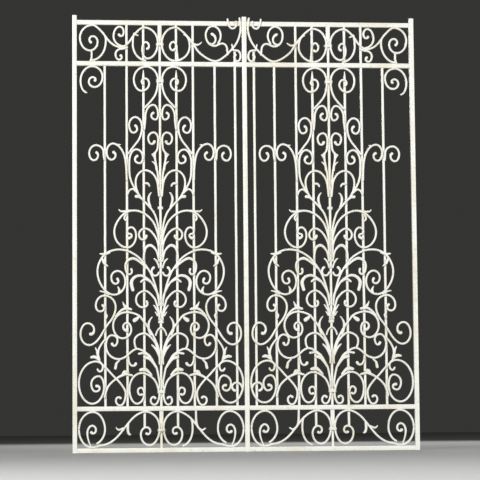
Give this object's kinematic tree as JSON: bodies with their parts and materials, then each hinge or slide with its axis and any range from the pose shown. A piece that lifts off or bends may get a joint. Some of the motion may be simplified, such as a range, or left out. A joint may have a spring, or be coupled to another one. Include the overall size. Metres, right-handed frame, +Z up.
{
  "type": "window security grille",
  "caption": "Two-panel window security grille: stiles, rails and upright bars behind symmetrical forged scrollwork, with scrolled friezes above and below.",
  "frame": {"origin": "underside of the bottom rails, at the middle of the width and of the depth over the collars", "axes": "+X along the window to the right as seen from the front, +Y from the scrolls to the back of the frame, +Z up"},
  "size_m": [1.216, 0.0226, 1.535],
  "materials": {
    "ivory_enamel": "gloss ivory-white enamel, brushed on thick"
  },
  "bodies": {
    "root": {"acanthus_sprays": "ivory_enamel", "bar_volutes": "ivory_enamel", "base_links": "ivory_enamel", "base_roundels": "ivory_enamel", "base_scrolls": "ivory_enamel", "bottom_frieze_arcs": "ivory_enamel", "bottom_frieze_eyes": "ivory_enamel", "bottom_frieze_leaves": "ivory_enamel", "bottom_frieze_s_scrolls": "ivory_enamel", "bottom_frieze_stubs": "ivory_enamel", "bottom_rails": "ivory_enamel", "centre_bar_beads": "ivory_enamel", "centre_bars": "ivory_enamel", "corner_scrolls": "ivory_enamel", "crossing_scrolls": "ivory_enamel", "crown_leaves": "ivory_enamel", "fern_arcs": "ivory_enamel", "first_bars": "ivory_enamel", "foot_curls": "ivory_enamel", "frieze_centre_bars": "ivory_enamel", "frieze_collars": "ivory_enamel", "head_curls": "ivory_enamel", "head_scrolls": "ivory_enamel", "heart_curls": "ivory_enamel", "heart_leaves": "ivory_enamel", "heart_scrolls": "ivory_enamel", "hooked_leaves": "ivory_enamel", "inner_hooks": "ivory_enamel", "left_stile": "ivory_enamel", "lower_cross_rails": "ivory_enamel", "lower_roundels": "ivory_enamel", "lower_s_scrolls": "ivory_enamel", "lyre_leaves": "ivory_enamel", "main_collars": "ivory_enamel", "middle_buds": "ivory_enamel", "middle_roundels": "ivory_enamel", "mullion": "ivory_enamel", "mullion_curls": "ivory_enamel", "mullion_side_bars": "ivory_enamel", "mullion_stubs": "ivory_enamel", "mullion_volutes": "ivory_enamel", "neck_scrolls": "ivory_enamel", "palm_leaves": "ivory_enamel", "right_stile": "ivory_enamel", "second_bars": "ivory_enamel", "shoulder_scrolls": "ivory_enamel", "side_s_scrolls": "ivory_enamel", "side_volutes": "ivory_enamel", "third_bars": "ivory_enamel", "throat_curls": "ivory_enamel", "top_frieze_bars": "ivory_enamel", "top_frieze_c_scrolls": "ivory_enamel", "top_frieze_hooks": "ivory_enamel", "top_frieze_rings": "ivory_enamel", "top_frieze_s_scrolls": "ivory_enamel", "top_frieze_sweeping_scrolls": "ivory_enamel", "top_rails": "ivory_enamel", "upper_buds": "ivory_enamel", "upper_cross_rails": "ivory_enamel", "upper_roundels": "ivory_enamel"}
  },
  "joints": []
}
